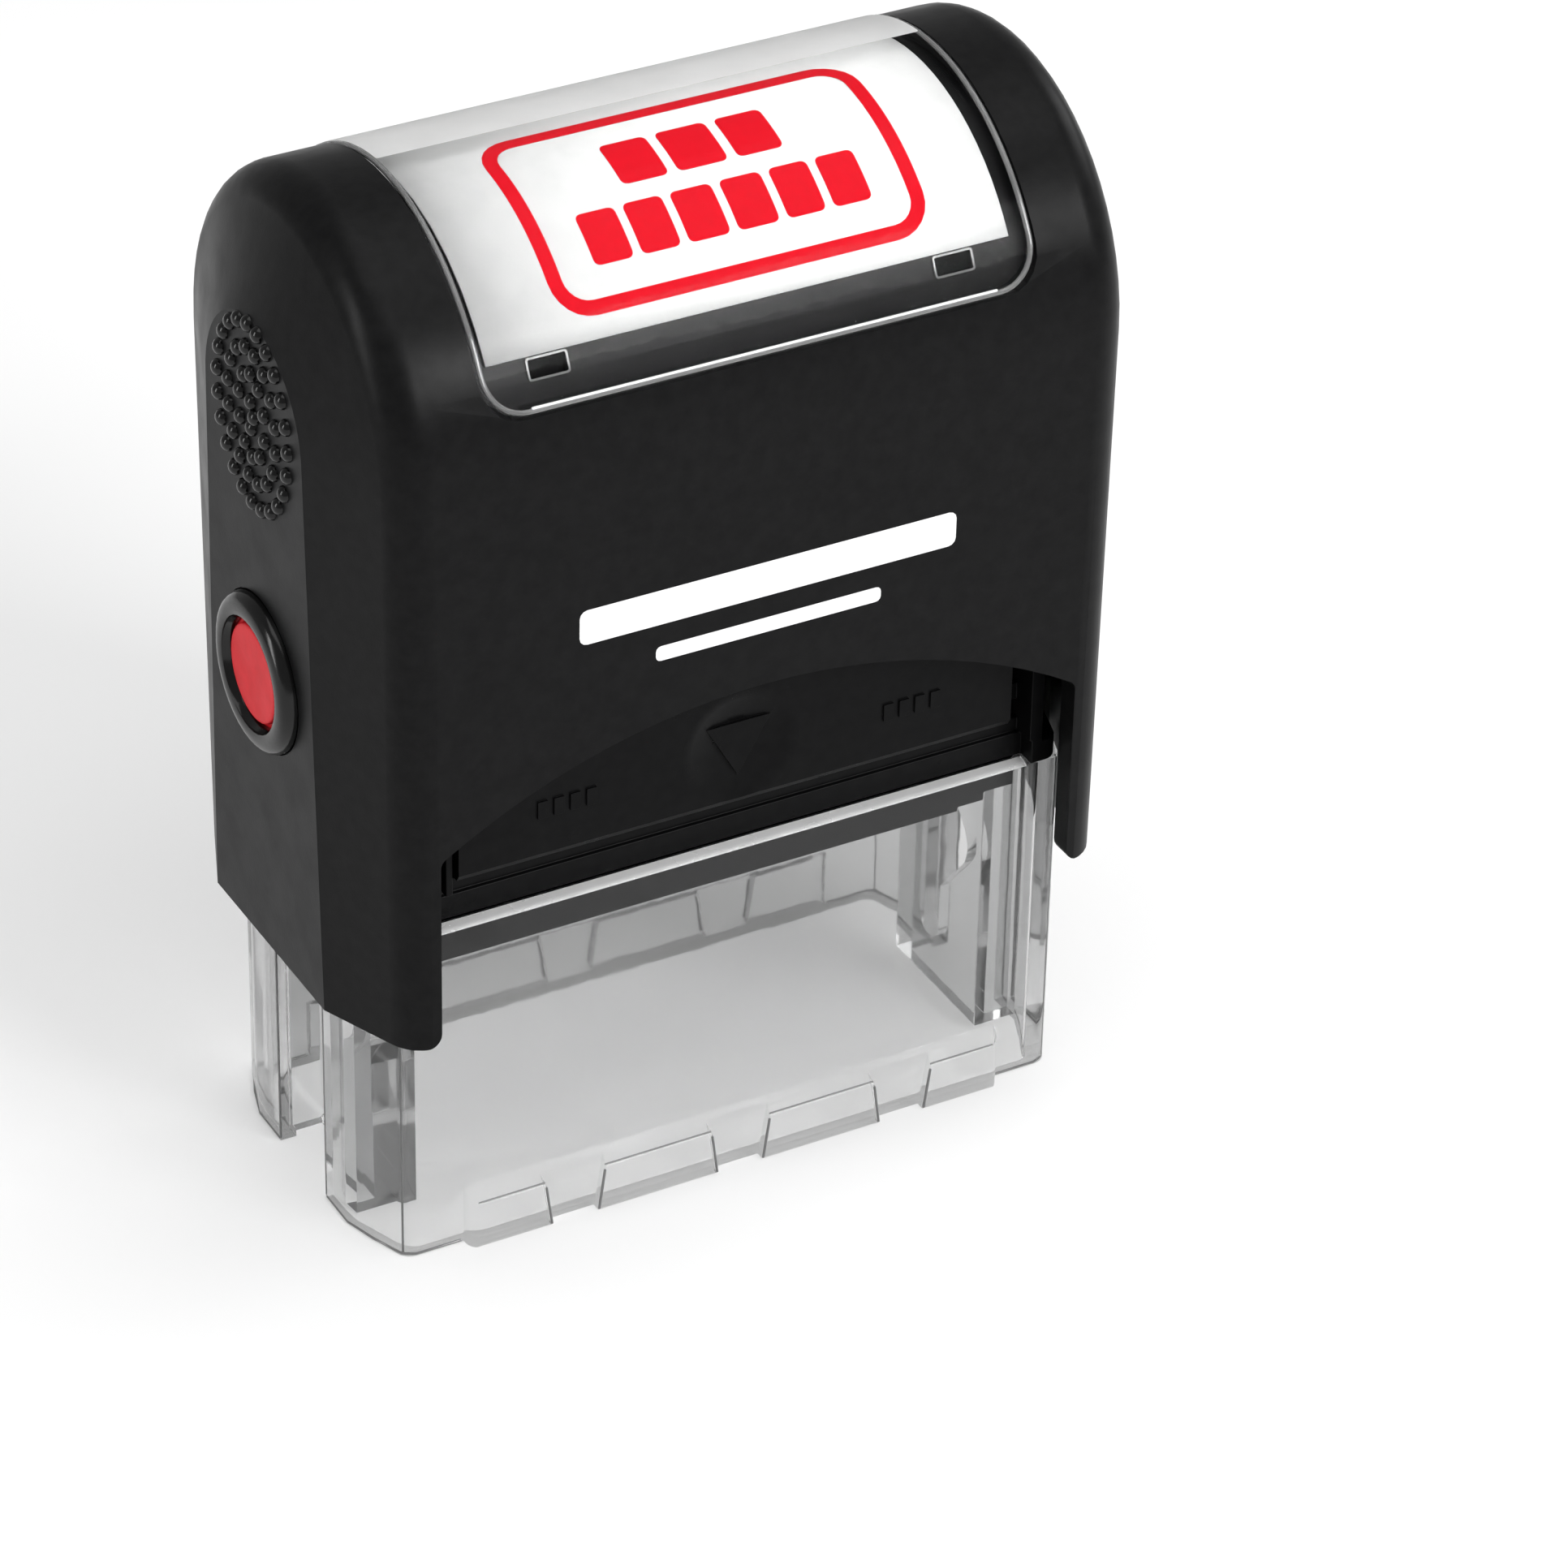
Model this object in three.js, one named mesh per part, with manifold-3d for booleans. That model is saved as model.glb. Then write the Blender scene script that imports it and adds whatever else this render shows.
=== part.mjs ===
// Self inking stamp: a sprung cap slides on a clear base and turns a die over from an ink pad to the paper.
// Millimetres, +Z up, base on z = 0, front towards -Y.
import * as THREE from 'three';
import { mergeVertices } from 'three/addons/utils/BufferGeometryUtils.js';
import Module from 'manifold-3d';

const wasm = await Module();
wasm.setup();

// Motion
const TRAVEL = 19; // cap stroke, during which the die turns half a turn
const AXLE_Z = 25.1; // die axle with the cap up
const PEG_ARM = 4; // peg to axle
const PEG_R = 1;
const PIN_R = 1.2;

// Cap
const CAP_W = 31.45; // half width over the flat side panels
const CAP_D = 17.3; // half depth, also the radius of the rounded top
const CAP_TOP = 82.4;
const CAP_ARC_Z = CAP_TOP - CAP_D;
const CAP_LEG_Z = 20.9;
const CAP_INNER_W = 29.75;
const CAP_INNER_D = 15.3;
const CAP_INNER_ARC_Z = 63.5;
const ARCH_W = 25.75; // opening under the cap front and back
const ARCH_END_Z = 36.7;
const ARCH_TOP_Z = 44.25;
const LEG_CORNER_R = 1.2;

// Index window and card
const WINDOW_W = 21.6;
const WINDOW_LOW_Z = 70.5;
const WINDOW_INNER_R = 16.1;
const WINDOW_OUTER_R = 17.4;
const RECESS_R = 15.75;
const CARD_W = 20.4;
const CARD_LOW_DEG = 31.2;
const TAB_X = 15.85;
const TAB_Y = 13.9;
const TAB_LOW_Z = 69.6;
const TAB_TOP_Z = 73.9;

// Lock buttons
const BUTTON_Z = 44.5;
const CUP_FLOOR_X = 29.75;
const POCKET_R = 5.3;
const SEAT_X = 31; // ring seat in the side panel
const RING_R = 6.05;
const BORE_R = 4.08;
const DISC_R = 3.75;

// Clear skirt
const SKIRT_TOP = 27.85;
const SKIRT_D = 13.4;
const WALL = 1.3;
const GUIDE_X = 24.2; // inner face of the guide walls
const GUIDE_T = 1.5;
const GUIDE_FRONT = -7.4;
const GUIDE_BACK = 4.8;
const GUIDE_LOW = 0.6;
const SIDE_GAP = 3.9;
const BUMPER_W = 22.4;
const BUMPER_D = 14.75;

// Inner frame and pad cartridge
const FRAME_LOW = 28;
const FRAME_TOP = 47.6;
const FRAME_D = 13.6;
const RAIL_W = 24.5; // set-back rail under the cartridge
const RAIL_D = 12.05;
const TUNNEL_W = 24.3;
const TUNNEL_LOW = 30;
const TUNNEL_TOP = 44.2;
const LEDGE_Z = 34;
const PAD_FACE_Z = 31.2;
const PANEL_W = 22.6;
const PANEL_D = 13.5;
const PANEL_LOW_Z = 31.9;
const PANEL_TOP_Z = 43.3;
const DISH_R = 4.85;

// Die
const DIE_W = 22.6;
const DIE_D = 9.2;
const DIE_FACE = 5.2; // rubber face above the axle

const arcDrop = (x) => {
  const rise = ARCH_TOP_Z - ARCH_END_Z;
  const radius = (ARCH_W ** 2 + rise ** 2) / (2 * rise);
  return radius - Math.sqrt(radius ** 2 - x ** 2);
};

const paint = (color, roughness, metalness = 0) => (
  new THREE.MeshStandardMaterial({ color, roughness, metalness }));
const blackPlastic = paint(0x1d1d1f, 0.45);
const innerBlack = paint(0x161617, 0.5);
const redPlastic = paint(0xc8283a, 0.35);
const clearPlastic = paint(0xdfe3e4, 0.08);
const steel = paint(0xa8abae, 0.3, 1);
const whiteCard = paint(0xf2f2f0, 0.7);
const redFoam = paint(0x8e1420, 0.95);
const greyFoam = paint(0x6d6f72, 0.95);
const rubber = paint(0xb9483c, 0.8);

const solid = (geometry) => {
  const bare = geometry.clone();
  bare.deleteAttribute('normal');
  bare.deleteAttribute('uv');
  const merged = mergeVertices(bare, 1e-5);
  return new wasm.Manifold(new wasm.Mesh({
    numProp: 3,
    vertProperties: new Float32Array(merged.attributes.position.array),
    triVerts: new Uint32Array(merged.index.array),
  }));
};

const join = (...bodies) => bodies.reduce((whole, body) => whole.add(body));
const cut = (body, ...tools) => tools.reduce((whole, tool) => whole.subtract(tool), body);
const both = (build) => [build(-1), build(1)];

const box = (x0, x1, y0, y1, z0, z1) => {
  const shape = new THREE.BoxGeometry(x1 - x0, y1 - y0, z1 - z0);
  return solid(shape.translate((x0 + x1) / 2, (y0 + y1) / 2, (z0 + z1) / 2));
};
const block = (w, d, z0, z1) => box(-w, w, -d, d, z0, z1);

const extrude = (points, depth) => {
  const shape = new THREE.Shape(points.map(([a, b]) => new THREE.Vector2(a, b)));
  return new THREE.ExtrudeGeometry(shape, { depth, bevelEnabled: false });
};
const alongZ = (points, z0, z1) => solid(extrude(points, z1 - z0).translate(0, 0, z0));
const alongX = (points, x0, x1) => {
  const turn = new THREE.Matrix4().makeBasis(
    new THREE.Vector3(0, 1, 0), new THREE.Vector3(0, 0, 1), new THREE.Vector3(1, 0, 0));
  return solid(extrude(points, x1 - x0).applyMatrix4(turn).translate(x0, 0, 0));
};
const alongY = (points, y0, y1) => solid(extrude(points, y1 - y0).rotateX(Math.PI / 2).translate(0, y1, 0));

// Round bar along X; side -1 mirrors the span to the left
const barX = (radius, x0, x1, y, z, side = 1, segments = 32) => {
  const bar = new THREE.CylinderGeometry(radius, radius, x1 - x0, segments).rotateZ(Math.PI / 2);
  return solid(bar.translate(side * (x0 + x1) / 2, y, z));
};
const barZ = (radius, z0, z1, segments = 32) => {
  const bar = new THREE.CylinderGeometry(radius, radius, z1 - z0, segments).rotateX(Math.PI / 2);
  return solid(bar.translate(0, 0, (z0 + z1) / 2));
};
// Turned piece on the left or right side; the profile is radius and distance from the middle plane
const turned = (profile, z, side, segments = 36) => {
  const points = profile.map(([radius, x]) => new THREE.Vector2(radius, x));
  const shape = new THREE.LatheGeometry(points, segments).rotateZ(-Math.PI / 2);
  if (side < 0) shape.rotateZ(Math.PI);
  return solid(shape.translate(0, 0, z));
};

const roundCorner = (before, corner, after, radius, steps = 5) => {
  const v = (p) => new THREE.Vector2(p[0], p[1]);
  const a = v(before).sub(v(corner)).normalize();
  const b = v(after).sub(v(corner)).normalize();
  const half = Math.acos(a.dot(b)) / 2;
  const sweep = b.cross(a);
  const centre = v(corner).add(a.clone().add(b).normalize().multiplyScalar(radius / Math.sin(half)));
  const start = v(corner).add(a.multiplyScalar(radius / Math.tan(half))).sub(centre);
  const turn = Math.sign(sweep) * (Math.PI - 2 * half);
  return Array.from({ length: steps + 1 }, (_, i) => {
    const p = start.clone().rotateAround(new THREE.Vector2(), turn * i / steps).add(centre);
    return [p.x, p.y];
  });
};
const rounded = (points, radii) => points.flatMap((point, i) => {
  const before = points[(i + points.length - 1) % points.length];
  const after = points[(i + 1) % points.length];
  return radii[i] ? roundCorner(before, point, after, radii[i]) : [point];
});

// Plan outline: flat side, slanted facet, rounded front corner; repeated in four quarters
const plan = (w, flat, cornerX, d, radius) => {
  const quarter = [[w, flat], ...roundCorner([w, flat], [cornerX, d], [0, d], radius)];
  const back = [...quarter].map(([x, y]) => [-x, y]).reverse();
  const upper = [...quarter, ...back];
  return [...upper, ...upper.map(([x, y]) => [-x, -y])];
};

// Body with a U-shaped section (straight legs, round top) whose half depth follows the plan along X
const vault = (w, flat, flatLow, cornerX, d, radius, arcZ, lowZ, lean = 0) => {
  const quarter = [[w, flat], ...roundCorner([w, flat], [cornerX, d], [0, d], radius, 6)];
  const stations = [...quarter.map(([x, r]) => [-x, r]), ...quarter.reverse()];
  const arcSteps = 28;
  const rings = stations.map(([x, r]) => {
    const low = r === flat ? flatLow : r * (1 - lean);
    const lowX = x * (1 - lean / 2);
    const arc = Array.from({ length: arcSteps + 1 }, (_, i) => {
      const angle = Math.PI * i / arcSteps;
      return [x, -r * Math.cos(angle), arcZ + r * Math.sin(angle)];
    });
    return [[lowX, low, lowZ], [lowX, -low, lowZ], ...arc];
  });
  const count = rings[0].length;
  const index = [];
  for (let s = 0; s + 1 < rings.length; s += 1) {
    for (let i = 0; i < count; i += 1) {
      const j = (i + 1) % count;
      const [a, b, c, e] = [s * count + i, s * count + j, (s + 1) * count + i, (s + 1) * count + j];
      index.push(a, c, b, b, c, e);
    }
  }
  const last = (rings.length - 1) * count;
  for (let i = 1; i + 1 < count; i += 1) {
    index.push(0, i, i + 1, last, last + i + 1, last + i);
  }
  const shape = new THREE.BufferGeometry();
  shape.setAttribute('position', new THREE.Float32BufferAttribute(rings.flat(2), 3));
  shape.setIndex(index);
  return solid(shape);
};

// Curved band around the top of the cap between two radii and two angles from the front
const band = (w, inner, outer, fromDeg, toDeg, steps = 32) => {
  const arc = (radius, i) => {
    const angle = THREE.MathUtils.degToRad(fromDeg + (toDeg - fromDeg) * i / steps);
    return [-radius * Math.cos(angle), CAP_ARC_Z + radius * Math.sin(angle)];
  };
  const range = Array.from({ length: steps + 1 }, (_, i) => i);
  const points = [...range.map((i) => arc(outer, i)), ...range.reverse().map((i) => arc(inner, i))];
  return alongX(points, -w, w);
};
const windowOutline = (grow) => {
  const w = WINDOW_W + grow;
  const low = WINDOW_LOW_Z - grow;
  return rounded([[-w, low], [w, low], [w, CAP_TOP + 5], [-w, CAP_TOP + 5]], [3, 3, 0, 0]);
};

const group = new THREE.Group();
group.name = 'self_inking_stamp';
const place = (name, body, material, parent = group) => {
  const { vertProperties, triVerts, numProp } = body.getMesh();
  const shape = new THREE.BufferGeometry();
  const position = new Float32Array(vertProperties.length / numProp * 3);
  for (let i = 0; i < position.length / 3; i += 1) {
    position.set(vertProperties.subarray(i * numProp, i * numProp + 3), i * 3);
  }
  shape.setAttribute('position', new THREE.BufferAttribute(position, 3));
  shape.setIndex(new THREE.BufferAttribute(new Uint32Array(triVerts), 1));
  shape.computeVertexNormals();
  const mesh = new THREE.Mesh(shape, material);
  mesh.name = name;
  parent.add(mesh);
};
const sideName = (side, name) => `${side < 0 ? 'left' : 'right'}_${name}`;

// Cap shell
const capOuter = vault(CAP_W, 7.8, 9.1, 28.3, CAP_D, 3.2, CAP_ARC_Z, CAP_LEG_Z, 0.014);
const capInner = vault(CAP_INNER_W, 7.5, 7.5, 27.3, CAP_INNER_D, 1.2, CAP_INNER_ARC_Z, CAP_LEG_Z - 2);
const archSteps = 24;
const archCurve = Array.from({ length: archSteps + 1 }, (_, i) => {
  const x = ARCH_W * (1 - 2 * i / archSteps);
  return [x, ARCH_TOP_Z - arcDrop(x)];
});
const legLow = CAP_LEG_Z - 0.02;
const archOutline = rounded(
  [[-ARCH_W, legLow], [-ARCH_W - 3, legLow], [-ARCH_W - 3, 15], [ARCH_W + 3, 15], [ARCH_W + 3, legLow],
    [ARCH_W, legLow], ...archCurve],
  [LEG_CORNER_R, 0, 0, 0, 0, LEG_CORNER_R, 0.8, ...Array(archSteps - 1).fill(0), 0.8],
);
const tabSlot = (x, side) => {
  const y = side * TAB_Y;
  return box(x - 1.55, x + 1.55, y - 0.3, y + 0.3, TAB_LOW_Z - 0.3, 76);
};
const withinOutline = (grow) => alongY(windowOutline(grow), -30, 30);
const windowRecess = band(WINDOW_W + 0.2, RECESS_R, CAP_D + 2, 10, 170).intersect(withinOutline(0.2));
let cap = cut(capOuter, capInner, alongY(archOutline, -30, 30), windowRecess);
for (const x of [-TAB_X, TAB_X]) {
  cap = cut(cap, tabSlot(x, -1), tabSlot(x, 1));
}
for (const side of [-1, 1]) {
  const boss = barX(2.4, 26.2, CAP_INNER_W + 0.3, 0, AXLE_Z, side);
  const cup = barX(5.9, 29.3, CAP_INNER_W + 0.3, 0, BUTTON_Z, side);
  cap = cut(
    join(cap, boss, cup),
    barX(PIN_R + 0.08, 26, 30.9, 0, AXLE_Z, side),
    barX(POCKET_R, CUP_FLOOR_X, 34, 0, BUTTON_Z, side, 36),
    barX(RING_R + 0.1, SEAT_X, 34, 0, BUTTON_Z, side, 36),
    barX(1.35, 29, 31, 0, BUTTON_Z, side),
  );
}
cap = join(cap, barZ(7, 76.45, 79).subtract(barZ(5.4, 76, 80)));
place('cap_shell', cap, blackPlastic);

// Index window, lifted straight up, and its card
let windowBody = band(WINDOW_W, WINDOW_INNER_R, WINDOW_OUTER_R, 10, 170).intersect(withinOutline(0));
for (const x of [-TAB_X, TAB_X]) {
  for (const y of [-TAB_Y, TAB_Y]) {
    windowBody = join(windowBody, box(x - 1.25, x + 1.25, y - 0.18, y + 0.18, TAB_LOW_Z, TAB_TOP_Z));
  }
}
place('index_window', windowBody, clearPlastic);
const card = band(CARD_W, RECESS_R + 0.05, WINDOW_INNER_R - 0.07, CARD_LOW_DEG, 180 - CARD_LOW_DEG, 24);
place('index_card', card, whiteCard);

// Spring seat clipped under the top of the cap
const seat = cut(join(barZ(7.2, 74.8, 76.4), barZ(4.4, 66.85, 75)), barZ(3.3, 66, 75.5));
place('spring_seat', seat, innerBlack);

// Lock buttons with their rings and springs
const ringProfile = [
  [POCKET_R, 31.05], [RING_R, 31.05], [RING_R, 31.6], [RING_R - 0.12, 31.95], [RING_R - 0.38, 32.25],
  [RING_R - 0.75, 32.43], [RING_R - 1.2, 32.48], [RING_R - 1.65, 32.4], [BORE_R + 0.3, 32.2],
  [BORE_R + 0.07, 31.95], [BORE_R, 31.7], [BORE_R, 31.5], [POCKET_R, 31.5], [POCKET_R, 31.05],
];
const buttonProfile = [
  [0, 29.2], [1.1, 29.2], [1.1, 31.75], [3.5, 31.75], [3.5, 31.1], [5, 31.1], [5, 31.45], [DISC_R, 31.45],
  [DISC_R, 31.87], [DISC_R - 0.1, 32], [DISC_R - 0.35, 32.06], [0, 32],
];
const coil = (radius, wire, turns, from, to, perTurn, around) => {
  const count = turns * perTurn;
  const points = Array.from({ length: count + 1 }, (_, i) => {
    const turn = i / perTurn;
    const flat = Math.min(turn, 1) + Math.max(turn - turns + 1, 0);
    const rise = flat * 2.2 * wire + (turn - flat) * (to - from - 4.4 * wire) / (turns - 2);
    const angle = 2 * Math.PI * turn;
    return new THREE.Vector3(radius * Math.cos(angle), radius * Math.sin(angle), from + rise);
  });
  const circle = new THREE.Shape(Array.from({ length: around }, (_, i) => {
    const angle = 2 * Math.PI * i / around;
    return new THREE.Vector2(wire * Math.cos(angle), wire * Math.sin(angle));
  }));
  const extrudePath = new THREE.CatmullRomCurve3(points);
  return new THREE.ExtrudeGeometry(circle, { extrudePath, steps: count, curveSegments: 1 });
};
for (const side of [-1, 1]) {
  place(sideName(side, 'button_ring'), turned(ringProfile, BUTTON_Z, side), blackPlastic);
  place(sideName(side, 'lock_button'), turned(buttonProfile, BUTTON_Z, side), redPlastic);
  const spring = coil(2.7, 0.13, 3, CUP_FLOOR_X + 0.16, 31.58, 12, 5).rotateY(side * Math.PI / 2);
  place(sideName(side, 'button_spring'), solid(spring.translate(0, 0, BUTTON_Z)), steel);
}

// Clear skirt with guide walls
const skirtOuter = alongZ(plan(29.05, 7.6, 27.1, SKIRT_D, 1.2), 0, SKIRT_TOP);
const skirtInner = alongZ(plan(29.05 - WALL, 7.4, 25.9, SKIRT_D - WALL, 0.8), -1, SKIRT_TOP + 1);
const sideGap = box(-30, 30, -SIDE_GAP, SIDE_GAP, -1, SKIRT_TOP + 1);
let skirt = cut(skirtOuter, skirtInner, sideGap);

const slotAlong = (path, halfWidth, x0, x1) => {
  const normals = path.map((point, i) => {
    const [a, b] = [path[Math.max(i - 1, 0)], path[Math.min(i + 1, path.length - 1)]];
    const length = Math.hypot(b[0] - a[0], b[1] - a[1]);
    return [-(b[1] - a[1]) / length, (b[0] - a[0]) / length];
  });
  const edge = (sign) => path.map(([y, z], i) => {
    const [ny, nz] = normals[i];
    return [y + sign * halfWidth * ny, z + sign * halfWidth * nz];
  });
  const strip = alongX([...edge(-1), ...edge(1).reverse()], x0, x1);
  const ends = [path[0], path[path.length - 1]].map(([y, z]) => barX(halfWidth, x0, x1, y, z, 1, 24));
  return join(strip, ...ends);
};
const pegSteps = 20;
const pegPath = Array.from({ length: pegSteps + 1 }, (_, i) => {
  const angle = Math.PI * i / pegSteps;
  return [-PEG_ARM * Math.sin(angle), AXLE_Z - TRAVEL * i / pegSteps - PEG_ARM * Math.cos(angle)];
});
const axlePath = [[0, AXLE_Z], [0, AXLE_Z - TRAVEL]];
for (const side of [-1, 1]) {
  const [x0, x1] = side < 0 ? [-GUIDE_X - GUIDE_T, -GUIDE_X] : [GUIDE_X, GUIDE_X + GUIDE_T];
  const wall = cut(
    box(x0, x1, GUIDE_FRONT, GUIDE_BACK, GUIDE_LOW, SKIRT_TOP),
    slotAlong(pegPath, PEG_R + 0.25, x0 - 1, x1 + 1),
    alongX(pegPath, x0 - 1, x1 + 1),
    slotAlong(axlePath, PIN_R + 0.25, x0 - 1, x1 + 1),
  );
  const ribSpans = [[GUIDE_FRONT, GUIDE_FRONT + 1.5], [GUIDE_BACK - 1, GUIDE_BACK]];
  const ribs = ribSpans.map(([y0, y1]) => {
    const [r0, r1] = side < 0 ? [-28.3, x1 - 0.2] : [x0 + 0.2, 28.3];
    return box(r0, r1, y0, y1, GUIDE_LOW, SKIRT_TOP);
  });
  skirt = join(skirt, wall, ...ribs);
}
const bumperProfile = [
  [13, 0], [BUMPER_D - 0.2, 0], [BUMPER_D, 0.3], [BUMPER_D, 3.75], [BUMPER_D - 0.2, 4.1], [13.4, 4.95],
  [13, 4.95],
];
const bumperPlan = rounded(
  [[-BUMPER_W, 0], [BUMPER_W, 0], [BUMPER_W, BUMPER_D], [-BUMPER_W, BUMPER_D]], [0, 0, 1.1, 1.1]);
const notchOutline = (x) => [[x - 1.75, -1], [x + 1.75, -1], [x + 2.8, 6], [x - 2.8, 6]];
let bumper = alongX(bumperProfile, -BUMPER_W, BUMPER_W).intersect(alongZ(bumperPlan, -1, 6));
for (const x of [-13.8, 0, 13.8]) {
  bumper = bumper.subtract(alongY(notchOutline(x), 13.85, 16));
}
skirt = join(skirt, bumper, bumper.mirror([0, 1, 0]));
place('base_skirt', skirt, clearPlastic);

// Inner frame
const frameOuter = alongZ(plan(28.6, 7, 26.6, FRAME_D, 1.2), FRAME_LOW, FRAME_TOP);
const flangeSteps = [[19.1, 24.65], [21.3, 25], [23.8, 25.7]]; // half width and lower edge
let frame = cut(
  frameOuter,
  block(24, 11.2, FRAME_LOW - 1, TUNNEL_LOW + 1),
  block(TUNNEL_W, 20, TUNNEL_LOW, TUNNEL_TOP),
);
for (const side of [-1, 1]) {
  const alongWidth = (w, near, far, ...rest) => (
    side < 0 ? box(-w, w, -far, -near, ...rest) : box(-w, w, near, far, ...rest));
  const atEnd = (x0, x1, ...rest) => (side < 0 ? box(-x1, -x0, ...rest) : box(x0, x1, ...rest));
  frame = cut(
    frame,
    alongWidth(RAIL_W, RAIL_D, 20, FRAME_LOW - 1, TUNNEL_LOW),
    atEnd(25.4, 32, -20, 20, 29.8, 46.2),
  );
  frame = join(
    frame,
    alongWidth(24.4, 11.2, 11.7, 29, 31.1),
    ...flangeSteps.map(([w, low]) => alongWidth(w, 11, 12, low, 29)),
    atEnd(23.3, TUNNEL_W + 0.5, -11.5, 11.5, LEDGE_Z - 1.4, LEDGE_Z),
    atEnd(25, 27.6, -9, -8, 29, 47),
    atEnd(25, 27.6, 8, 9, 29, 47),
  );
}
frame = join(frame, barZ(2.8, FRAME_TOP - 1, 56));
place('base_frame', frame, innerBlack);

// Ink pad cartridge
const panelSteps = 20;
const panelCurve = Array.from({ length: panelSteps + 1 }, (_, i) => {
  const x = PANEL_W * (1 - 2 * i / panelSteps);
  return [x, PANEL_TOP_Z - arcDrop(x)];
});
const panelOutline = [[-PANEL_W, PANEL_LOW_Z], [PANEL_W, PANEL_LOW_Z], ...panelCurve];
const panelEdge = (side) => {
  const points = [[0.4, -0.15], [0.4, 0.5], [-0.05, 0.5], [-0.4, -0.15]];
  return alongX(points.map(([y, z]) => [side * (PANEL_D + y), PANEL_LOW_Z + z]), -30, 30);
};
const dish = (side) => {
  const rings = 5;
  const reach = Array.from({ length: rings + 1 }, (_, i) => i / rings);
  const bowl = reach.map((t) => [DISH_R * t, 0.85 * (t ** 2 - 1)]);
  const points = [...bowl, [DISH_R, 2], [0, 2]].map(([radius, depth]) => new THREE.Vector2(radius, depth));
  const shape = new THREE.LatheGeometry(points, 28);
  if (side < 0) shape.rotateX(Math.PI);
  return solid(shape.translate(0, side * PANEL_D, 36.8));
};
const arrow = (side) => {
  const outline = [[0, 34.1], [2.6, 38.6], [-2.6, 38.6]];
  return side < 0 ? alongY(outline, -13.1, -12.4) : alongY(outline, 12.4, 13.1);
};
let tray = join(block(23.05, 11.2, PAD_FACE_Z + 0.05, 37), block(24.05, 11.2, LEDGE_Z + 0.15, 37));
for (const side of [-1, 1]) {
  const [near, far] = side < 0 ? [-PANEL_D, -12.4] : [12.4, PANEL_D];
  const face = side * PANEL_D;
  const grips = [-16, -14.7, -13.4, -12.1, 12.1, 13.4, 14.7, 16].map((x) => (
    box(x - 0.4, x + 0.4, face - 0.18, face + 0.18, 35.5, 36.9)));
  const web = side < 0 ? box(-22.5, 22.5, -12.6, -11, 31.9, 36.9) : box(-22.5, 22.5, 11, 12.6, 31.9, 36.9);
  const panel = cut(alongY(panelOutline, near, far), panelEdge(side), dish(side));
  tray = join(tray, web, panel, arrow(side), ...grips);
}
tray = cut(tray, block(22.3, 9.4, 31, 35.3));
place('ink_pad_tray', tray, innerBlack);
place('ink_pad_foam', block(22.2, 9.3, PAD_FACE_Z, 35.2), redFoam);

// Return spring between frame and cap
place('return_spring', solid(coil(5.4, 0.45, 8, FRAME_TOP + 0.5, 74.3, 16, 7)), steel);

// Die, turning on the axle
const carrierProfile = [
  [-DIE_D, 2.9], [-DIE_D, 1.7], [-3.2, 1.2], [-2.4, -1.4], [-1.4, -2.4], [1.4, -2.4], [2.4, -1.4], [3.2, 1.2],
  [DIE_D, 1.7], [DIE_D, 2.9],
].map(([y, z]) => [y, z + AXLE_Z]);
const pinHoles = both((side) => barX(PIN_R + 0.04, 19, 24, 0, AXLE_Z, side));
place('die_carrier', cut(alongX(carrierProfile, -DIE_W, DIE_W), ...pinHoles), innerBlack);
place('die_cushion', block(DIE_W - 0.2, DIE_D - 0.3, AXLE_Z + 2.93, AXLE_Z + 3.9), greyFoam);

const ringOutline = (w, d) => rounded([[-w, -d], [w, -d], [w, d], [-w, d]], [2, 2, 2, 2]);
const reliefLow = AXLE_Z + 4.5;
const reliefTop = AXLE_Z + DIE_FACE;
const reliefFrame = cut(
  alongZ(ringOutline(21, 7.8), reliefLow, reliefTop),
  alongZ(ringOutline(20, 6.8), reliefLow - 1, reliefTop + 1),
);
let plate = join(block(DIE_W - 0.2, DIE_D - 0.3, AXLE_Z + 3.93, AXLE_Z + 4.6), reliefFrame);
// Two rows of plain blocks: how many, row middle, half block width, spacing
for (const [count, y, w, pitch] of [[3, 3, 2.6, 6.6], [6, -3, 2.35, 5.8]]) {
  for (let i = 0; i < count; i += 1) {
    const x = (i - (count - 1) / 2) * pitch;
    plate = join(plate, box(x - w, x + w, y - 2.1, y + 2.1, reliefLow, reliefTop));
  }
}
place('rubber_text_plate', plate, rubber);

const armArc = (z, radius, from, to) => Array.from({ length: 13 }, (_, i) => {
  const angle = THREE.MathUtils.degToRad(from + (to - from) * i / 12);
  return [radius * Math.cos(angle), z + radius * Math.sin(angle)];
});
const armOutline = [...armArc(AXLE_Z, 2.4, -8, 188), ...armArc(AXLE_Z - PEG_ARM, 1.7, 188, 352)];
for (const side of [-1, 1]) {
  const [x0, x1] = side < 0 ? [-23.7, -22.7] : [22.7, 23.7];
  const hub = alongX(armOutline, x0, x1).subtract(barX(PIN_R + 0.04, 22, 25, 0, AXLE_Z, side));
  const peg = barX(PEG_R, 23.5, 25.5, 0, AXLE_Z - PEG_ARM, side, 24);
  place(sideName(side, 'flip_arm'), join(hub, peg), innerBlack);
  place(sideName(side, 'axle_pin'), barX(PIN_R, 19.2, 30.6, 0, AXLE_Z, side), steel);
}

export default group;
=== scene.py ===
import math

import bmesh
import bpy
from mathutils import Matrix, Vector
from mathutils.bvhtree import BVHTree


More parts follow.
